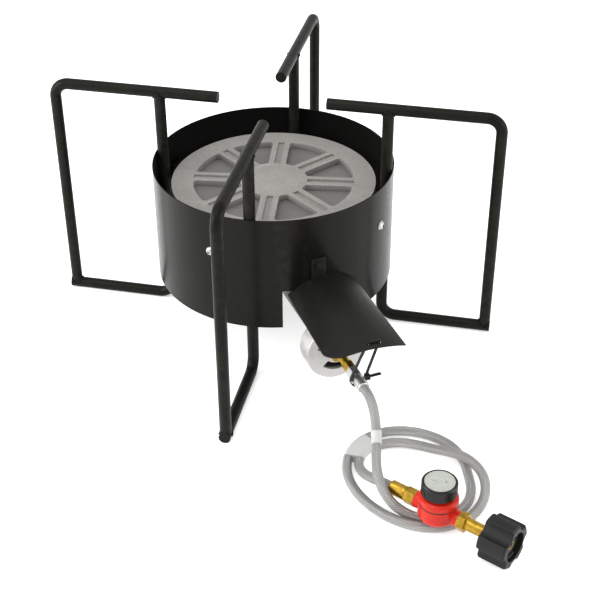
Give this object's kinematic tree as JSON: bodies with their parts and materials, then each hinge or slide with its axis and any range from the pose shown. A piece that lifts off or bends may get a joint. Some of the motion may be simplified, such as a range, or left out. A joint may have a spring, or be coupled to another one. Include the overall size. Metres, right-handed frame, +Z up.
{
  "type": "outdoor gas cooker",
  "caption": "Outdoor gas cooker: cast ring burner in a black round windscreen on bent-rod legs that carry the pot, with venturi, heat shield, coiled gas hose and red regulator.",
  "frame": {"origin": "on the floor, on the windscreen's axis, midway between the legs", "axes": "+Z up, +X along the right leg's pot bar, -Y towards the viewer, where the hose and regulator lie"},
  "size_m": [0.6362, 0.7096, 0.307],
  "materials": {
    "powder_coat": "semi-gloss black powder coat",
    "zinc_steel": "zinc plated",
    "bright_steel": "bright zinc plated",
    "burner_casting": "matte grey casting",
    "shutter_casting": "bright cast",
    "brass": "turned brass",
    "steel_braid": "woven stainless braid",
    "white_tape": "matte white tape",
    "black_nylon": "matte black nylon",
    "red_enamel": "gloss red enamel",
    "black_knob": "satin black",
    "white_face": "matte white",
    "black_nut": "matte black",
    "seal_rubber": "matte"
  },
  "bodies": {
    "stand": {"bracket_screws": "zinc_steel", "burner_base": "burner_casting", "burner_bolts": "zinc_steel", "burner_bracket_1": "powder_coat", "burner_bracket_2": "powder_coat", "burner_bracket_3": "powder_coat", "burner_bracket_4": "powder_coat", "burner_head": "burner_casting", "cable_tie": "black_nylon", "diaphragm": "seal_rubber", "gas_jet": "brass", "heat_shield": "powder_coat", "hose_adapter": "brass", "hose_band_coil": "white_tape", "hose_band_lead": "white_tape", "hose_coil": "steel_braid", "hose_ferrule_burner": "zinc_steel", "hose_ferrule_regulator": "brass", "hose_lead": "steel_braid", "hose_nut_regulator": "brass", "hose_swivel_nut": "zinc_steel", "hose_tail": "steel_braid", "inlet_nipple": "brass", "inlet_seal": "seal_rubber", "leg_lower_back": "powder_coat", "leg_lower_front": "powder_coat", "leg_lower_left": "powder_coat", "leg_lower_right": "powder_coat", "leg_upper_back": "powder_coat", "leg_upper_front": "powder_coat", "leg_upper_left": "powder_coat", "leg_upper_right": "powder_coat", "orifice_nipple": "brass", "regulator_body": "red_enamel", "regulator_bonnet": "red_enamel", "regulator_spring": "zinc_steel", "shield_nut": "zinc_steel", "shield_screw": "powder_coat", "shutter_lock_nut": "brass", "windscreen": "powder_coat", "windscreen_bolts": "bright_steel", "windscreen_nuts": "zinc_steel"},
    "air_shutter": {"air_shutter": "shutter_casting"},
    "adjuster": {"spring_button": "zinc_steel"},
    "knob": {"regulator_knob": "black_knob", "knob_face": "white_face", "adjusting_screw": "zinc_steel"},
    "valve": {"diaphragm_plate": "zinc_steel", "valve_pin": "brass"},
    "hand_nut": {"hand_nut": "black_nut"}
  },
  "joints": [
    {"name": "shutter_turn", "type": "hinge", "parent": "stand", "child": "air_shutter", "pos_m": [0.1148, -0.17345, 0.072], "axis": [0.5519, -0.8339, 0], "range_deg": [0, 60]},
    {"name": "button_travel", "type": "slide", "parent": "stand", "child": "adjuster", "axis": [0, 0, -1], "range_m": [0, 0.003], "deforming": ["regulator_spring"]},
    {"name": "knob_turn", "type": "hinge", "parent": "adjuster", "child": "knob", "pos_m": [0.26, -0.366, 0.0577], "axis": [0, 0, -1], "range_deg": [0, 1080]},
    {"name": "valve_lift", "type": "slide", "parent": "stand", "child": "valve", "axis": [0, 0, -1], "range_m": [0, 0.0005], "deforming": ["diaphragm"]},
    {"name": "hand_nut_turn", "type": "hinge", "parent": "stand", "child": "hand_nut", "pos_m": [0.32797, -0.3977, 0.0241], "axis": [0.9063, -0.4226, 0], "continuous": true}
  ],
  "couplings": [
    {"joint": "knob_turn", "follows": "button_travel", "rad_per_m": 6283.2},
    {"joint": "valve_lift", "follows": "button_travel", "ratio": 0.16667}
  ]
}
